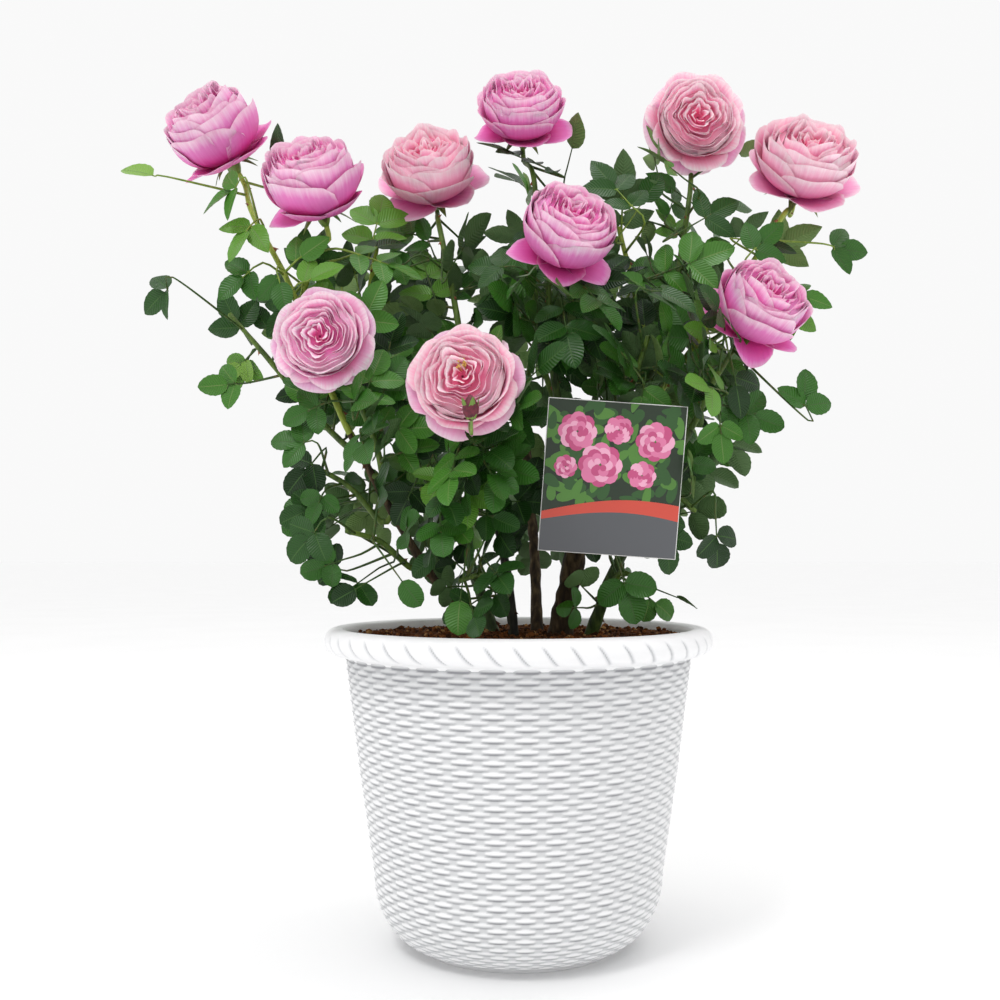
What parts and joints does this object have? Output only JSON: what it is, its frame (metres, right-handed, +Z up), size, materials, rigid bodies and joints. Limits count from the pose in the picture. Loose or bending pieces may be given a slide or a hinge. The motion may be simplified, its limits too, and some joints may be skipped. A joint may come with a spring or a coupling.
{
  "type": "rose bush",
  "caption": "Double-flowered rose bush with woody canes, leafy shoots and pink heads, growing in a round tapering pot of basket-weave look, with a hang card.",
  "frame": {"origin": "centre of the pot's flat underside", "axes": "+Z up; the side shown in the picture, with the card, faces -Y; +X is to that side's right"},
  "size_m": [0.6103, 0.4029, 0.7267],
  "materials": {
    "pot": "satin white resin moulded as basket weave",
    "soil": "dark crumbly potting mix",
    "woody_cane": "brown ridged bark",
    "green_cane": "green bark",
    "dark_cane": "dark green-brown bark",
    "foliage": "glossy green leaves",
    "bloom_deep": "soft deep pink petals",
    "bloom_pale": "soft pale pink petals",
    "bloom_rose": "soft rose pink petals",
    "card": "smooth printed card"
  },
  "bodies": {
    "root": {"pot": "pot", "soil": "soil", "cane_main": "woody_cane", "cane_slant": "green_cane", "cane_straight": "dark_cane", "cane_left": "woody_cane", "cane_rear_left": "green_cane", "cane_rear": "woody_cane", "bough_centre": "green_cane", "bough_right": "green_cane", "bough_rear": "green_cane", "shoot_left_top": "foliage", "shoot_left_bloom": "foliage", "shoot_left_side": "foliage", "shoot_left_middle": "foliage", "shoot_left_low": "foliage", "shoot_mid_left": "foliage", "shoot_front": "foliage", "shoot_foot": "foliage", "shoot_front_low": "foliage", "shoot_centre": "foliage", "shoot_top": "foliage", "shoot_top_right": "foliage", "shoot_upper_right": "foliage", "shoot_far_right": "foliage", "shoot_right": "foliage", "shoot_right_low": "foliage", "shoot_foot_right": "foliage", "shoot_upper_left": "foliage", "shoot_rear_left": "foliage", "shoot_rear_left_low": "foliage", "shoot_rear_centre": "foliage", "shoot_rear_low": "foliage", "shoot_rear_right": "foliage", "shoot_right_back_low": "foliage", "shoot_core_right": "foliage", "bloom_far_left": "bloom_deep", "bloom_upper_left": "bloom_deep", "bloom_mid_left": "bloom_pale", "bloom_top": "bloom_deep", "bloom_upper_right": "bloom_pale", "bloom_far_right": "bloom_pale", "bloom_centre": "bloom_deep", "bloom_lower_right": "bloom_deep", "bloom_lower_left": "bloom_rose", "bloom_front": "bloom_pale", "bloom_rear_left": "bloom_pale", "bloom_rear_centre": "bloom_rose", "bloom_rear_right": "bloom_deep", "bud_front": "bloom_deep", "label_card": "card"}
  },
  "joints": []
}
